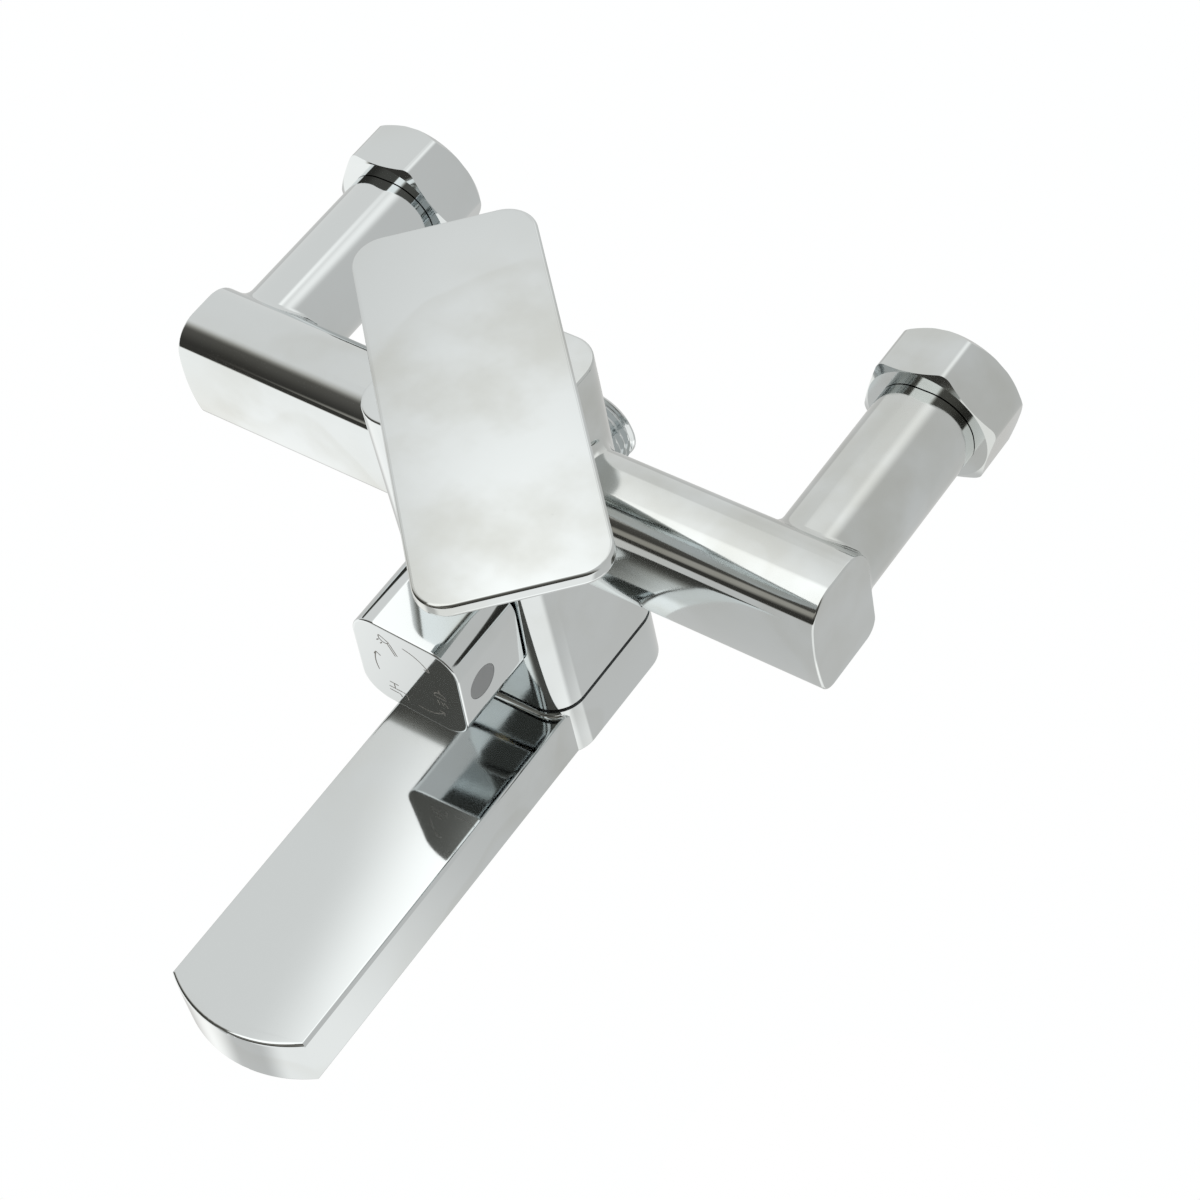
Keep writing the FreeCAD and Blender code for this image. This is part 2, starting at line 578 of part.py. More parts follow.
def main():
    build_casting()
    for side, sign in LEFT_RIGHT.items():
        build_union(side, sign)
    build_cartridge()
    build_lever()
    build_diverter()
    build_hose_outlet()
    build_spout()
    doc.recompute()
    bad = [f"{o.Name} ({o.Label}): {o.State}" for o in doc.Objects
           if "Invalid" in o.State or "Error" in o.State]
    bad += [f"{p.Label}: no valid solid" for p in parts
            if p.Shape.isNull() or not p.Shape.isValid() or not p.Shape.Solids]
    if bad:
        raise RuntimeError("; ".join(bad))
    os.makedirs("parts", exist_ok=True)
    for part in parts:
        part.Shape.exportStep(f"parts/{part.Label}.step")
        print(f"{part.Label:26s} solids {len(part.Shape.Solids)}  volume {part.Shape.Volume:10.1f} mm3")


main()
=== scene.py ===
"""Wall mounted bath mixer: finishes, threads, engraved icons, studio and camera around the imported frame.

Lengths are metres in the frame's own axes: X from the left inlet to the right one, +Y at the wall, +Z up.
"""
from __future__ import annotations

import json
import logging
import math
from dataclasses import dataclass
from enum import Enum
from typing import Any, Callable, Sequence, Union

import bpy
import bmesh
import numpy as np
from mathutils import Matrix, Vector

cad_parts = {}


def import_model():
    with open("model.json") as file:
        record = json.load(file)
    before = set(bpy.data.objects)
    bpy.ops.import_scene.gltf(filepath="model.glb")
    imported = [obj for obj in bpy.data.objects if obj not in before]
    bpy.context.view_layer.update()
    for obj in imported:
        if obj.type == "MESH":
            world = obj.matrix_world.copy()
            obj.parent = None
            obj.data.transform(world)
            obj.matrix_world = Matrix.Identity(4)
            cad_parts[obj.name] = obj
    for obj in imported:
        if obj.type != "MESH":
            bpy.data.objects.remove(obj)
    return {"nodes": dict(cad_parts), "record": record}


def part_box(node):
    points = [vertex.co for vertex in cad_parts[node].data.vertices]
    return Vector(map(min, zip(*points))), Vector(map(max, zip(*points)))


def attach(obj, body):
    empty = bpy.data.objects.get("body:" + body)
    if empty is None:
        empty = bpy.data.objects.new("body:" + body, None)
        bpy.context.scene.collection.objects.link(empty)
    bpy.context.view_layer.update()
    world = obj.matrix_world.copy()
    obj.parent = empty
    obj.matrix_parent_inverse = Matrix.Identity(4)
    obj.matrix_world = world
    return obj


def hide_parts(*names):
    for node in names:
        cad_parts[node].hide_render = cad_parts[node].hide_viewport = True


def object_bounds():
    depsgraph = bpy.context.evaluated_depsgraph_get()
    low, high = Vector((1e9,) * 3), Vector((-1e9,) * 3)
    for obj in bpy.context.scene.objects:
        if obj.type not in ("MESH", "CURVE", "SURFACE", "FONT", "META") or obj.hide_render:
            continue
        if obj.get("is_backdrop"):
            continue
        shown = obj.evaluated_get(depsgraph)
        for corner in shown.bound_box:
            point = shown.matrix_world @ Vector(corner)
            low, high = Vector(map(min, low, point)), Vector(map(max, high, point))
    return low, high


LOG = logging.getLogger("bath_mixer")
MM = 0.001
TURN = 2.0 * math.pi
Colour = tuple[float, float, float]


# ------------------------------------------------------------------ shader maths
class Value:
    """An output socket with arithmetic: each operator adds one Math node to its tree."""

    def __init__(self, graph: "Graph", socket: bpy.types.NodeSocket) -> None:
        """Wrap a socket of the graph's tree."""
        self.graph = graph
        self.socket = socket

    def _math(self, operation: str, *others: "Operand") -> "Value":
        """Add a Math node that works on this value and the others."""
        return self.graph.node("ShaderNodeMath", {"operation": operation}, *others)

    def __add__(self, other: "Operand") -> "Value":
        """This value plus another."""
        return self._math("ADD", self, other)

    def __sub__(self, other: "Operand") -> "Value":
        """This value less another."""
        return self._math("SUBTRACT", self, other)

    def __rsub__(self, other: "Operand") -> "Value":
        """Another value less this one."""
        return self._math("SUBTRACT", other, self)

    def __mul__(self, other: "Operand") -> "Value":
        """This value times another."""
        return self._math("MULTIPLY", self, other)

    __radd__ = __add__
    __rmul__ = __mul__

    def step(self, low: float, high: float) -> "Value":
        """A smooth step from 0 at low to 1 at high, or falling where high is under low."""
        return self.graph.node("ShaderNodeMapRange", {"interpolation_type": "SMOOTHSTEP"}, self, low, high)


Operand = Union[Value, float, Sequence[float]]


class Graph:
    """A material's node tree, with one method that adds any node."""

    def __init__(self, name: str) -> None:
        """Make an empty material of that name."""
        self.material = bpy.data.materials.new(name)
        self.material.use_nodes = True
        self.tree = self.material.node_tree
        self.tree.nodes.clear()

    def node(self, kind: str, settings: dict[str, Any], *inputs: Operand, out: int = 0,
             **named: Operand) -> Value:
        """Add a node.

        Args:
            kind: the node's type.
            settings: its properties, set first, such as a Math node's operation.
            inputs: values or links of its first sockets, in order.
            out: which of its outputs is returned.
            named: values or links of sockets by name, with _ for a space.

        Returns:
            The chosen output.
        """
        made = self.tree.nodes.new(kind)
        for key, value in settings.items():
            setattr(made, key, value)
        filled = list(zip(made.inputs, inputs))
        filled += [(made.inputs[key.replace("_", " ")], value) for key, value in named.items()]
        for socket, value in filled:
            if isinstance(value, Value):
                self.tree.links.new(value.socket, socket)
            elif value is not None:
                socket.default_value = value
        return Value(self, made.outputs[out])

    def place(self) -> Value:
        """The point on the object, in metres."""
        return self.node("ShaderNodeTexCoord", {}, out=3)

    def axes(self, vector: Value) -> tuple[Value, Value, Value]:
        """The three components of a vector."""
        parts = self.node("ShaderNodeSeparateXYZ", {}, vector).socket.node.outputs
        return Value(self, parts[0]), Value(self, parts[1]), Value(self, parts[2])

    def stretched(self, vector: Value, scale: Sequence[float]) -> Value:
        """The vector with each axis scaled."""
        return self.node("ShaderNodeVectorMath", {"operation": "MULTIPLY"}, vector, scale)

    def noise(self, vector: Value, scale: float, detail: float = 3.0, rough: float = 0.5) -> Value:
        """Fractal noise from 0 to 1 with features of about 1 / scale metres."""
        return self.node("ShaderNodeTexNoise", {}, Vector=vector, Scale=scale, Detail=detail, Roughness=rough)

    def tint(self, first: Sequence[float], second: Sequence[float], mask: Value) -> Value:
        """The first colour where the mask is 0, the second where it is 1."""
        mix = self.node("ShaderNodeMix", {"data_type": "RGBA"}, mask, out=2)
        inputs = mix.socket.node.inputs
        inputs[6].default_value = (*first, 1.0)
        inputs[7].default_value = (*second, 1.0)
        return mix

    def bump(self, height: Value, depth: float) -> Value:
        """A normal bent by a height from 0 to 1 that stands for depth metres."""
        return self.node("ShaderNodeBump", {}, Strength=1.0, Distance=depth, Height=height)

    def principled(self, **named: Operand) -> bpy.types.Material:
        """Finish the tree with one Principled shader and return the material."""
        shader = self.node("ShaderNodeBsdfPrincipled", {}, **named)
        surface_socket = self.tree.nodes.new("ShaderNodeOutputMaterial").inputs["Surface"]
        self.tree.links.new(shader.socket, surface_socket)
        return self.material


# ------------------------------------------------------------------ finishes
@dataclass(frozen=True)
class Chrome:
    """Bright chrome plate: faint cloudy smudges, dust specks and the slight waviness of polished brass."""

    name: str = "polished_chrome"
    clean: Colour = (0.665, 0.700, 0.712)
    smudged: Colour = (0.578, 0.598, 0.584)
    gloss: float = 0.040
    haze: float = 0.075
    wave: float = 3.6e-5

    def material(self) -> bpy.types.Material:
        """Smudges are two cloud scales multiplied; dried tide marks follow a level line of a third."""
        graph = Graph(self.name)
        place = graph.place()
        clouds = graph.noise(place, 34.0, 4.0, 0.55)
        patches = graph.noise(place, 11.0, 2.0)
        drift = graph.noise(place, 13.0, 2.5, 0.45)
        tide = drift.step(0.505, 0.52) * drift.step(0.56, 0.52)
        smudge = clouds.step(0.38, 0.68) * patches.step(0.36, 0.60) + tide * 0.28
        speck = graph.noise(place, 900.0, 1.0).step(0.80, 0.84)
        wipe = graph.noise(graph.stretched(place, (1.0, 0.22, 1.0)), 700.0, 2.0)
        rough = smudge * self.haze + self.gloss + wipe * 0.012 + speck * 0.10
        height = graph.noise(place, 23.0, 1.5, 0.4)
        return graph.principled(Base_Color=graph.tint(self.clean, self.smudged, smudge), Metallic=1.0,
                                Roughness=rough, Normal=graph.bump(height, self.wave))


@dataclass(frozen=True)
class TurnedBrass:
    """Bare brass with fine turning rings and a little tarnish."""

    name: str = "turned_brass"
    bright: Colour = (0.78, 0.60, 0.30)
    tarnished: Colour = (0.46, 0.31, 0.14)

    def material(self) -> bpy.types.Material:
        """Rings are a fast wave along all axes, broken by noise; tarnish lies in broad patches."""
        graph = Graph(self.name)
        place = graph.place()
        tarnish = graph.noise(place, 60.0, 4.0).step(0.42, 0.72)
        rings = graph.node("ShaderNodeTexWave", {"bands_direction": "DIAGONAL"}, Vector=place, Scale=900.0,
                           Distortion=1.2, Detail=2.0, out=1)
        return graph.principled(Base_Color=graph.tint(self.bright, self.tarnished, tarnish), Metallic=1.0,
                                Roughness=tarnish * 0.22 + 0.24, Normal=graph.bump(rings, 6e-6))


@dataclass(frozen=True)
class BrushedSteel:
    """Stainless steel with short brush lines."""

    name: str = "brushed_steel"
    light: Colour = (0.63, 0.63, 0.64)
    dark: Colour = (0.40, 0.40, 0.41)

    def material(self) -> bpy.types.Material:
        """Noise drawn out along X gives the brush lines."""
        graph = Graph(self.name)
        lines = graph.noise(graph.stretched(graph.place(), (0.08, 1.0, 1.0)), 2600.0, 3.0, 0.6)
        return graph.principled(Base_Color=graph.tint(self.dark, self.light, lines), Metallic=1.0,
                                Roughness=lines * 0.15 + 0.26, Normal=graph.bump(lines, 4e-6))


@dataclass(frozen=True)
class Moulded:
    """Moulded plastic, rubber or lapped ceramic: fine grain, flow marks and an even sheen."""

    name: str
    base: Colour
    shade: Colour
    rough: float
    grain: float
    grain_scale: float = 2200.0
    coat: float = 0.0

    def material(self) -> bpy.types.Material:
        """Grain is fine noise in the bump; flow marks shift the colour and the gloss a little."""
        graph = Graph(self.name)
        place = graph.place()
        flow = graph.noise(graph.stretched(place, (1.0, 0.5, 1.0)), 90.0, 4.0).step(0.3, 0.7)
        grain = graph.noise(place, self.grain_scale, 2.0)
        return graph.principled(Base_Color=graph.tint(self.base, self.shade, flow),
                                Roughness=flow * 0.10 + grain * 0.08 + self.rough,
                                Coat_Weight=self.coat, Normal=graph.bump(grain, self.grain))


@dataclass(frozen=True)
class Engraved:
    """The matt floor of a laser engraved line in chrome."""

    name: str = "engraved_chrome"
    light: Colour = (0.36, 0.35, 0.33)
    dark: Colour = (0.20, 0.195, 0.18)

    def material(self) -> bpy.types.Material:
        """Fine speckle in colour and height."""
        graph = Graph(self.name)
        speckle = graph.noise(graph.place(), 5200.0, 2.0)
        return graph.principled(Base_Color=graph.tint(self.dark, self.light, speckle), Metallic=0.85,
                                Roughness=speckle * 0.2 + 0.42, Normal=graph.bump(speckle, 1e-5))


class Slot(Enum):
    """The record's material slots, each with the finish that its pieces wear."""

    chrome = Chrome()
    brass = TurnedBrass()
    steel = BrushedSteel()
    rubber = Moulded("black_rubber", (0.010, 0.010, 0.011), (0.022, 0.022, 0.023), 0.16, 6e-6, 1500.0)
    ceramic = Moulded("lapped_ceramic", (0.86, 0.85, 0.80), (0.80, 0.79, 0.75), 0.10, 1e-6, 3000.0, 0.5)
    grey_plastic = Moulded("grey_plastic", (0.27, 0.285, 0.295), (0.31, 0.325, 0.335), 0.36, 7e-6)
    white_plastic = Moulded("white_plastic", (0.82, 0.82, 0.79), (0.76, 0.76, 0.73), 0.34, 6e-6)
    black_plastic = Moulded("black_plastic", (0.014, 0.014, 0.015), (0.024, 0.024, 0.025), 0.24, 6e-6)


class Wardrobe:
    """Makes each finish's material once and dresses pieces in it."""

    def __init__(self) -> None:
        """Start with no material made."""
        self.made: dict[str, bpy.types.Material] = {}

    def dress(self, piece: bpy.types.Object, finish: Any) -> None:
        """Give the piece one material, that of the finish."""
        if finish.name not in self.made:
            self.made[finish.name] = finish.material()
        piece.data.materials.clear()
        piece.data.materials.append(self.made[finish.name])


# ------------------------------------------------------------------ surfaces
def surface(name: str, points: np.ndarray, ring_rows: bool = False, ring_columns: bool = False,
            crease: float = 34.0) -> bpy.types.Object:
    """Make a mesh object from a grid of points.

    Args:
        name: the piece's name.
        points: rows x columns x 3 points, in metres.
        ring_rows: whether the last row joins the first.
        ring_columns: whether the last column joins the first.
        crease: angle in degrees past which an edge stays sharp.

    Returns:
        The new object, at the origin, with its faces pointing outwards.
    """
    rows, columns = points.shape[:2]
    row = np.arange(rows if ring_rows else rows - 1)[:, None]
    column = np.arange(columns if ring_columns else columns - 1)[None, :]
    next_row, next_column = (row + 1) % rows, (column + 1) % columns
    quads = np.stack([row * columns + column, row * columns + next_column,
                      next_row * columns + next_column, next_row * columns + column], axis=-1)
    mesh = bpy.data.meshes.new(name)
    mesh.from_pydata(points.reshape(-1, 3).tolist(), [], quads.reshape(-1, 4).tolist())
    shell = bmesh.new()
    shell.from_mesh(mesh)
    bmesh.ops.remove_doubles(shell, verts=shell.verts, dist=1e-7)
    bmesh.ops.recalc_face_normals(shell, faces=shell.faces)
    shell.to_mesh(mesh)
    shell.free()
    mesh.shade_smooth()
    mesh.set_sharp_from_angle(angle=math.radians(crease))
    piece = bpy.data.objects.new(name, mesh)
    bpy.context.scene.collection.objects.link(piece)
    return piece


def turned_about_y(radius: np.ndarray, along: np.ndarray, angle: np.ndarray, x: float,
                   z: float) -> np.ndarray:
    """Points at a radius and an angle, from +X towards +Z, about an axis along Y through (x, z)."""
    return np.stack([x + radius * np.cos(angle), along + 0 * angle, z + radius * np.sin(angle)], axis=-1)


@dataclass(frozen=True)
class Thread:
    """A parallel pipe thread: one helical groove between a major and a minor radius."""

    major: float
    minor: float
    pitch: float
    flat: float = 0.15

    def radius(self, along: np.ndarray, angle: np.ndarray, low: float, high: float,
               inside: bool) -> np.ndarray:
        """Radius of the threaded wall.

        The groove's depth is a triangle wave of the distance along the axis less the helix's rise, with
        its tips cut flat; it fades to nothing within one pitch of each end, as a thread runs out.

        Args:
            along: place along the axis.
            angle: angle about the axis.
            low: where the thread starts along the axis.
            high: where it ends.
            inside: whether it is cut into a bore, so that the plain wall is at the minor radius.
        """
        phase = (along - low) / self.pitch - angle / TURN
        wave = np.abs(2.0 * (phase - np.floor(phase)) - 1.0)
        depth = np.clip((wave - self.flat) / (1.0 - 2.0 * self.flat), 0.0, 1.0)
        fade = np.clip(np.minimum(along - low, high - along) / self.pitch, 0.0, 1.0)
        cut = depth * fade * (self.major - self.minor)
        return self.minor + cut if inside else self.major - cut


G_HALF = Thread(10.478 * MM, 9.316 * MM, 1.814 * MM)
G_THREE_QUARTERS = Thread(13.221 * MM, 12.059 * MM, 1.814 * MM)


# ------------------------------------------------------------------ carried-over CAD nodes
class CadPieces:
    """The CAD nodes that stay: smooth shading with true flats, and the finish of each one's slot."""

    crease = math.radians(24.0)

    def __init__(self, nodes: dict[str, bpy.types.Object], record: dict[str, Any]) -> None:
        """Keep the nodes and each one's slot name."""
        self.nodes = nodes
        self.slots = {row["node"]: row["material_slot"] for row in record["subparts"]}

    def shading_group(self) -> bpy.types.NodeTree:
        """A node group that smooths every face and keeps edges past the crease angle sharp."""
        group = bpy.data.node_groups.new("smooth_but_for_creases", "GeometryNodeTree")
        group.interface.new_socket("Geometry", in_out="INPUT", socket_type="NodeSocketGeometry")
        group.interface.new_socket("Geometry", in_out="OUTPUT", socket_type="NodeSocketGeometry")
        start, end = group.nodes.new("NodeGroupInput"), group.nodes.new("NodeGroupOutput")
        angle = group.nodes.new("GeometryNodeInputMeshEdgeAngle")
        flat = group.nodes.new("FunctionNodeCompare")
        flat.operation = "LESS_EQUAL"
        flat.inputs[1].default_value = self.crease
        faces, edges = (group.nodes.new("GeometryNodeSetShadeSmooth") for _ in range(2))
        faces.domain, edges.domain = "FACE", "EDGE"
        for source, target in ((start.outputs[0], faces.inputs[0]), (faces.outputs[0], edges.inputs[0]),
                               (angle.outputs[0], flat.inputs[0]), (flat.outputs[0], edges.inputs[2]),
                               (edges.outputs[0], end.inputs[0])):
            group.links.new(source, target)
        return group

    def dress(self, wardrobe: Wardrobe) -> None:
        """Weld each node's loose triangles in a modifier, shade it and give it its finish."""
        group = self.shading_group()
        for name, node in self.nodes.items():
            weld = node.modifiers.new("weld", "WELD")
            weld.merge_threshold = 1e-6
            node.modifiers.new("shading", "NODES").node_group = group
            normals = node.modifiers.new("normals", "WEIGHTED_NORMAL")
            normals.mode = "FACE_AREA"
            normals.weight = 100
            normals.keep_sharp = True
            wardrobe.dress(node, Slot[self.slots[name]].value)
            LOG.info("CAD node %s in %s", name, self.slots[name])


# ------------------------------------------------------------------ threaded pieces
NUT_TURNS = {"left": -5.0, "right": -13.0}    # degrees that each loose nut stands turned


@dataclass(frozen=True)
class HoseNipple:
    """The hose outlet: a shank in the column, an undercut, a G 1/2 thread and a hexagon key bore."""

    node: str = "hose_nipple"
    thread_length: float = 14.1 * MM
    undercut: float = 1.2 * MM
    undercut_radius: float = 9.2 * MM
    shank_radius: float = 9.4 * MM
    key_flats: float = 12.0 * MM
    lead: float = 0.9 * MM
    mouth: float = 1.06
    mouth_depth: float = 0.5 * MM
    rounds: int = 192
    steps: int = 112

    def build(self) -> bpy.types.Object:
        """One closed profile carried round the axis; the bore's radius follows the hexagon key's angle."""
        low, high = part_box(self.node)
        x, z = (low[0] + high[0]) / 2, (low[2] + high[2]) / 2
        inner, outer = low[1], high[1]
        face = outer - self.thread_length
        start, end = face + self.undercut, outer - self.lead
        angle = np.arange(self.rounds) * TURN / self.rounds
        along = np.linspace(start, end, self.steps)
        thread = G_HALF.radius(along[:, None], angle[None, :], start, end, inside=False)
        sector = (angle + TURN / 12) % (TURN / 6) - TURN / 12
        key = self.key_flats / 2 / np.cos(sector)
        rows = [(inner, key), (inner, self.shank_radius), (face, self.shank_radius),
                (face, self.undercut_radius), (start, self.undercut_radius)]
        rows += list(zip(along, thread))
        rows += [(outer, G_HALF.minor), (outer, key * self.mouth), (outer - self.mouth_depth, key)]
        radius = np.array([np.broadcast_to(r, angle.shape) for _, r in rows])
        place = np.array([y for y, _ in rows])[:, None]
        points = turned_about_y(radius, place, angle[None, :], x, z)
        return surface("threaded_hose_nipple", points, ring_rows=True, ring_columns=True, crease=30.0)


@dataclass(frozen=True)
class UnionNut:
    """A loose hexagon nut: chamfered both sides, with a G 3/4 thread open at the wall."""

    side: str
    turn: float
    flats: float = 31.0 * MM
    corner: float = 3.5 * MM
    front_circle: float = 15.3 * MM
    front_slope: float = 2.0
    back_circle: float = 15.6 * MM
    web: float = 2.9 * MM
    thread_length: float = 7.0 * MM
    relief: float = 12.4 * MM
    neck: float = 10.2 * MM
    rounds: int = 360
    steps: int = 56

    def outline(self, angle: np.ndarray) -> np.ndarray:
        """Radius of a hexagon with rounded vertices: the flat's, or the corner circle's past its tangent."""
        half = self.flats / 2
        offset = np.abs((angle + TURN / 12) % (TURN / 6) - TURN / 12)
        to_corner = (half - self.corner) / math.cos(TURN / 12)
        tangent = math.atan((half - self.corner) * math.tan(TURN / 12) / half)
        swing = TURN / 12 - offset
        rounded = to_corner * np.cos(swing) + np.sqrt(self.corner ** 2 - (to_corner * np.sin(swing)).clip(
            -self.corner, self.corner) ** 2)
        return np.where(offset < tangent, half / np.cos(offset), rounded)

    def build(self) -> bpy.types.Object:
        """One closed profile per angle; where chamfer and flat meet depends on the hexagon's radius there."""
        low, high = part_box(f"union_nut_{self.side}")
        x, z = (low[0] + high[0]) / 2, (low[2] + high[2]) / 2
        front, back = low[1], high[1]
        angle = np.arange(self.rounds) * TURN / self.rounds
        edge = self.outline(angle + math.radians(self.turn) - TURN / 12)
        along = np.linspace(back, back - self.thread_length, self.steps)
        thread = G_THREE_QUARTERS.radius(along[:, None], angle[None, :], back - self.thread_length,
                                         back + G_THREE_QUARTERS.pitch, inside=True)
        rows = [(front, self.neck), (front, self.front_circle),
                (front + (edge - self.front_circle) / self.front_slope, edge),
                (back - (edge - self.back_circle).clip(0.0), edge), (back, edge.clip(0.0, self.back_circle)),
                (back, thread[0])]
        rows += list(zip(along, thread))
        rows += [(back - self.thread_length, self.relief), (front + self.web, self.relief),
                 (front + self.web, self.neck)]
        radius = np.array([np.broadcast_to(r, angle.shape) for _, r in rows])
        place = np.array([np.broadcast_to(y, angle.shape) for y, _ in rows])
        points = turned_about_y(radius, place, angle[None, :], x, z)
        return surface(f"threaded_nut_{self.side}", points, ring_rows=True, ring_columns=True, crease=26.0)


# ------------------------------------------------------------------ engraved icons on the knob
Path = Callable[[np.ndarray], np.ndarray]


def arc(centre: tuple[float, float], radius: float, start: float, end: float) -> Path:
    """A circular arc in the face's plane, in millimetres and degrees from +X towards +Z."""
    def at(t: np.ndarray) -> np.ndarray:
        """Points for parameters from 0 to 1."""
        a = np.radians(start + (end - start) * t)
        return np.stack([centre[0] + radius * np.cos(a), centre[1] + radius * np.sin(a)], axis=-1)
    return at


def line(start: tuple[float, float], end: tuple[float, float]) -> Path:
    """A straight stroke in the face's plane, in millimetres."""
    def at(t: np.ndarray) -> np.ndarray:
        """Points for parameters from 0 to 1."""
        return np.array(start) + t[:, None] * (np.array(end) - np.array(start))
    return at


@dataclass(frozen=True)
class KnobIcons:
    """Generic line icons on the knob's front: hand shower, tap, spray and three turning arrows."""

    node: str = "diverter_knob"
    turn: float = 4.0
    line_width: float = 0.34
    height: float = 0.03
    steps: int = 40
    facets: int = 7

    def strokes(self) -> dict[str, list[Path]]:
        """The strokes of each icon, in millimetres from the knob's centre."""
        spray = [line((8.0 + 0.9 * k, -3.6), (8.6 + 1.2 * k, -5.2)) for k in (-1, 0, 1)]
        return {
            "shower_icon": [arc((-5.4, 10.7), 1.5, 150.0, 330.0), line((-6.7, 11.5), (-4.1, 9.9)),
                            line((-4.7, 9.4), (-3.0, 5.6)), line((-4.1, 9.7), (-2.4, 5.9)),
                            line((-7.0, 9.6), (-7.7, 8.8)), line((-6.2, 8.9), (-6.8, 8.0))],
            "tap_icon": [line((-7.4, -8.6), (-3.4, -8.6)), line((-7.4, -9.9), (-4.8, -9.9)),
                         arc((-3.4, -9.8), 1.2, 0.0, 90.0), arc((-4.8, -10.6), 0.7, 0.0, 90.0),
                         line((-2.2, -9.8), (-2.2, -10.9)), line((-4.1, -10.6), (-4.1, -10.9)),
                         line((-5.6, -8.6), (-5.6, -6.8)), line((-6.9, -6.6), (-4.3, -6.6))],
            "spray_icon": [arc((8.0, -2.4), 1.7, 20.0, 160.0), line((6.3, -2.4), (9.7, -2.4)), *spray,
                           line((8.0, -0.7), (8.0, 0.6))],
            "left_arrow": [arc((1.0, -0.4), 10.6, 158.0, 198.0), line((-8.9, 3.6), (-9.6, 2.2)),
                           line((-8.9, 3.6), (-7.7, 2.6))],
            "right_arrow": [arc((-1.4, 1.6), 9.0, 84.0, 30.0), line((6.4, 6.1), (6.2, 7.7)),
                            line((6.4, 6.1), (4.9, 6.4))],
            "lower_arrow": [arc((2.4, -3.2), 7.6, 255.0, 322.0), line((8.4, -7.9), (8.1, -9.2)),
                            line((8.4, -7.9), (7.1, -8.0))],
        }

    def ribbon(self, path: Path, face: float, x: float, z: float) -> np.ndarray:
        """Grid of a thin crowned ribbon along a path: across it runs half an ellipse, and its ends taper."""
        t = np.linspace(0.0, 1.0, self.steps)
        centre = path(t)
        ahead = np.gradient(centre, axis=0)
        ahead /= np.linalg.norm(ahead, axis=1, keepdims=True)
        across = np.stack([-ahead[:, 1], ahead[:, 0]], axis=-1)
        swing = np.linspace(0.0, math.pi, self.facets)
        taper = np.sqrt(1.0 - (2.0 * t - 1.0) ** 12)[:, None]
        side = np.cos(swing)[None, :] * taper * self.line_width / 2
        lift = np.sin(swing)[None, :] * self.height * np.maximum(taper, 0.02)
        flat = centre[:, None, :] + side[..., None] * across[:, None, :]
        roll = math.radians(self.turn)
        u = flat[..., 0] * math.cos(roll) + flat[..., 1] * math.sin(roll)
        v = flat[..., 1] * math.cos(roll) - flat[..., 0] * math.sin(roll)
        return np.stack([x + u * MM, face - lift * MM, z + v * MM], axis=-1)

    def build(self) -> list[bpy.types.Object]:
        """One piece per icon, its strokes joined in one mesh."""
        low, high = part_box(self.node)
        x, z, face = (low[0] + high[0]) / 2, (low[2] + high[2]) / 2, low[1]
        pieces = []
        for name, paths in self.strokes().items():
            shells = [surface(f"{name}_{i}", self.ribbon(path, face, x, z), ring_columns=True)
                      for i, path in enumerate(paths)]
            joined = bmesh.new()
            for shell in shells:
                joined.from_mesh(shell.data)
                bpy.data.objects.remove(shell)
            mesh = bpy.data.meshes.new(name)
            joined.to_mesh(mesh)
            joined.free()
            piece = bpy.data.objects.new(name, mesh)
            bpy.context.scene.collection.objects.link(piece)
            pieces.append(piece)
        return pieces


# ------------------------------------------------------------------ studio
Fade = tuple[float, float]


@dataclass(frozen=True)
class Patch:
    """A soft-edged patch of the tent: every fade runs from no light to full light along one direction."""

    gain: float
    slant: tuple[Fade, ...] = ()
    x: tuple[Fade, ...] = ()
    y: tuple[Fade, ...] = ()
    z: tuple[Fade, ...] = ()

    def mask(self, **ways: Value) -> Value:
        """The product of the fades.

        Args:
            ways: the values that the fades read: slant, x, y and z.

        Returns:
            A value from 0 outside the patch to 1 inside it.
        """
        fades = [ways[way].step(*fade) for way in ("slant", "x", "y", "z") for fade in getattr(self, way)]
        product = fades[0]
        for fade in fades[1:]:
            product = product * fade
        return product


PANEL = Patch(0.65, slant=((-0.485, -0.445),), x=((-0.02, -0.20),), y=((-0.66, -0.58), (0.44, 0.34)))
RIDGE = Patch(0.38, x=((-0.46, -0.10), (0.26, -0.10)), y=((0.38, 0.45),))
GLOW = Patch(0.45, slant=((-0.54, -0.44),), x=((-0.30, -0.42),), y=((0.54, 0.42), (0.35, 0.42)))
SLIT = Patch(0.35, y=((-0.80, -0.84), (-0.92, -0.88)), z=((0.10, 0.16),))
GROUND = (
    Patch(0.55, x=((-0.40, -0.55),), y=((0.15, -0.20),)),
    Patch(0.45, x=((-0.25, -0.05),), y=((-0.10, -0.30),)),
    Patch(0.45, x=((0.22, 0.42),), y=((0.34, 0.24),), z=((-0.775, -0.815),)),
)


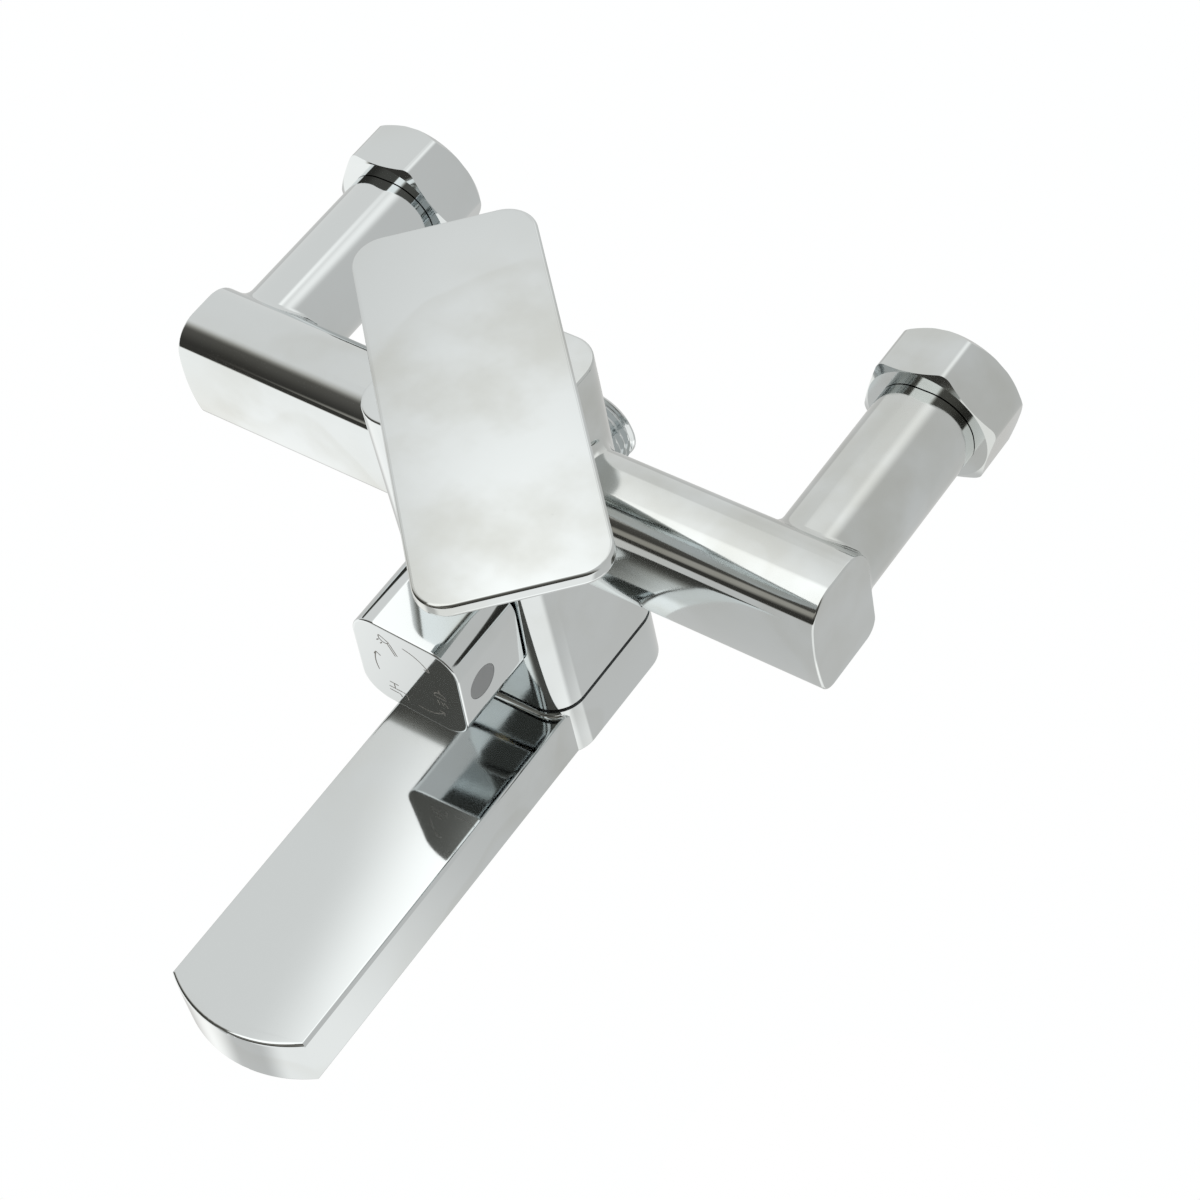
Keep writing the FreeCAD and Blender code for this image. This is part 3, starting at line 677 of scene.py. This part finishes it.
@dataclass(frozen=True)
class Studio:
    """A pale floor, a soft light tent that only mirrors and surfaces see, and the camera."""

    floor_drop: float = 0.40
    floor_radius: float = 3.6
    floor_hole: float = 0.02
    tent_radius: float = 3.5
    sky: float = 0.88
    sky_fall: float = 0.20
    front_dark: float = 0.045
    front_rise: float = 0.08
    ground: float = 0.68
    eye: Colour = (0.33702, -0.38541, 0.50733)
    aim: Colour = (0.01986, -0.07092, -0.03165)
    roll: float = 13.55
    lens: float = 92.06
    film: float = 36.0

    def glowing(self, stage: bpy.types.Object, graph: Graph, colour: Value) -> None:
        """Dress a piece of the stage in a black surface that glows in the given colour."""
        stage.data.materials.append(graph.principled(Base_Color=(0.0, 0.0, 0.0, 1.0), Roughness=1.0,
                                                     Specular_IOR_Level=0.0, Emission_Color=colour,
                                                     Emission_Strength=1.0))
        stage.active_material.cycles.emission_sampling = "NONE"

    def floor(self, lowest: float) -> bpy.types.Object:
        """A wide pale disc under the object, for the eye alone: mirrors see the tent's lower half instead."""
        t = np.linspace(self.floor_hole, 1.0, 24)[:, None] * self.floor_radius
        a = np.arange(96)[None, :] * TURN / 96
        level = np.full(np.broadcast_shapes(t.shape, a.shape), lowest - self.floor_drop)
        floor = surface("floor", np.stack([t * np.cos(a), t * np.sin(a), level], axis=-1), ring_columns=True)
        graph = Graph("pale_floor")
        cloud = graph.noise(graph.place(), 1.5, 2.0)
        self.glowing(floor, graph, graph.tint((0.99, 1.0, 1.0), (1.0, 1.0, 1.0), cloud))
        floor.visible_glossy = False
        floor.visible_diffuse = False
        return floor

    def overhead(self, slant: Value, x: Value, y: Value, z: Value) -> tuple[Value, Value]:
        """The tent's upper half: a pale sky with a panel, a ridge and a glow, and a dark front with a slit.

        Returns:
            The brightness, and how much of it is the dark front.
        """
        ways = {"slant": slant, "x": x, "y": y, "z": z}
        panel = PANEL.mask(**ways)
        lights = panel * PANEL.gain + RIDGE.mask(**ways) * RIDGE.gain + GLOW.mask(**ways) * GLOW.gain
        sky = self.sky - x.step(-0.40, 0.35) * self.sky_fall + lights * z.step(0.40, 0.62)
        dark = z.step(0.2, 0.9) * self.front_rise + self.front_dark + SLIT.mask(**ways) * SLIT.gain
        front = y.step(0.08, -0.42) * (1.0 - panel)
        return sky * (1.0 - front) + dark * front, front

    def underfoot(self, x: Value, y: Value, z: Value) -> Value:
        """The tent's lower half: the bounce of a pale ground, with three brighter patches."""
        ground = self.ground
        for patch in GROUND:
            ground = patch.mask(x=x, y=y, z=z) * patch.gain + ground
        return ground

    def tent(self) -> bpy.types.Object:
        """The light tent: a sphere whose inside glows by direction.

        The sky is palest at the left. A soft panel hangs overhead and a softer ridge of light behind it.
        The front, where a photographer would stand, is a dark brown grey with one narrow slit of light.
        Below the horizon lies the bounce of a pale ground, brightest to the front.
        """
        v = np.linspace(0.0, math.pi, 65)[:, None]
        a = np.arange(128)[None, :] * TURN / 128
        ring = np.sin(v)
        points = np.stack([ring * np.cos(a), ring * np.sin(a), np.cos(v) + 0.0 * a], axis=-1)
        tent = surface("light_tent", points * self.tent_radius, ring_columns=True)
        graph = Graph("light_tent")
        direction = graph.node("ShaderNodeVectorMath", {"operation": "NORMALIZE"}, graph.place())
        x, y, z = graph.axes(direction)
        ripple = graph.noise(direction, 5.0, 3.0) * 0.03 - 0.015
        upper, front = self.overhead(x + y * 0.05 + ripple, x, y, z)
        below = z.step(-0.06, -0.12)
        level = upper * (1.0 - below) + self.underfoot(x, y, z) * below
        brown = front * (1.0 - below)
        self.glowing(tent, graph, graph.node("ShaderNodeCombineXYZ", {}, level, level * (0.99 - brown * 0.04),
                                             level * (0.965 - brown * 0.12)))
        tent.visible_camera = False
        tent.visible_shadow = False
        return tent

    def camera(self) -> bpy.types.Object:
        """The camera, aimed at the object and rolled a little."""
        data = bpy.data.cameras.new("camera")
        data.lens, data.sensor_width = self.lens, self.film
        camera = bpy.data.objects.new("camera", data)
        bpy.context.scene.collection.objects.link(camera)
        ahead = Vector(self.aim) - Vector(self.eye)
        turn = ahead.to_track_quat("-Z", "Y").to_matrix() @ Matrix.Rotation(-math.radians(self.roll), 3, "Z")
        camera.matrix_world = Matrix.Translation(self.eye) @ turn.to_4x4()
        bpy.context.scene.camera = camera
        return camera

    def world(self) -> None:
        """A white backdrop behind everything, for the camera alone, since the tent hides it from mirrors."""
        world = bpy.data.worlds.new("white_backdrop")
        world.use_nodes = True
        world.node_tree.nodes["Background"].inputs[0].default_value = (1.0, 1.0, 1.0, 1.0)
        bpy.context.scene.world = world
        bpy.context.scene.view_settings.view_transform = "Standard"

    def build(self, lowest: float) -> None:
        """Set the stage under an object whose lowest point is given."""
        self.floor(lowest)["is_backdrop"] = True
        self.tent()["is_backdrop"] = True
        self.camera()
        self.world()


def plain(bounds: tuple[Sequence[float], Sequence[float]]) -> list[list[float]]:
    """A box as plain lists of numbers."""
    return [[float(value) for value in corner] for corner in bounds]


def main() -> None:
    """Load the frame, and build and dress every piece."""
    logging.basicConfig(level=logging.INFO, format="%(name)s: %(message)s")
    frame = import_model()
    cad_box = plain(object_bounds())
    Studio().build(cad_box[0][2])
    wardrobe = Wardrobe()
    CadPieces(frame["nodes"], frame["record"]).dress(wardrobe)

    threaded = [(HoseNipple().build(), "body", "hose_nipple")]
    threaded += [(UnionNut(side, turn).build(), f"nut_{side}", f"union_nut_{side}")
                 for side, turn in NUT_TURNS.items()]
    for piece, body, node in threaded:
        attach(piece, body)
        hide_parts(node)
        wardrobe.dress(piece, Slot.chrome.value)
        LOG.info("piece %s", piece.name)

    for icon in KnobIcons().build():
        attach(icon, "diverter")
        wardrobe.dress(icon, Engraved())
        LOG.info("piece %s", icon.name)


if __name__ == "__main__":
    main()
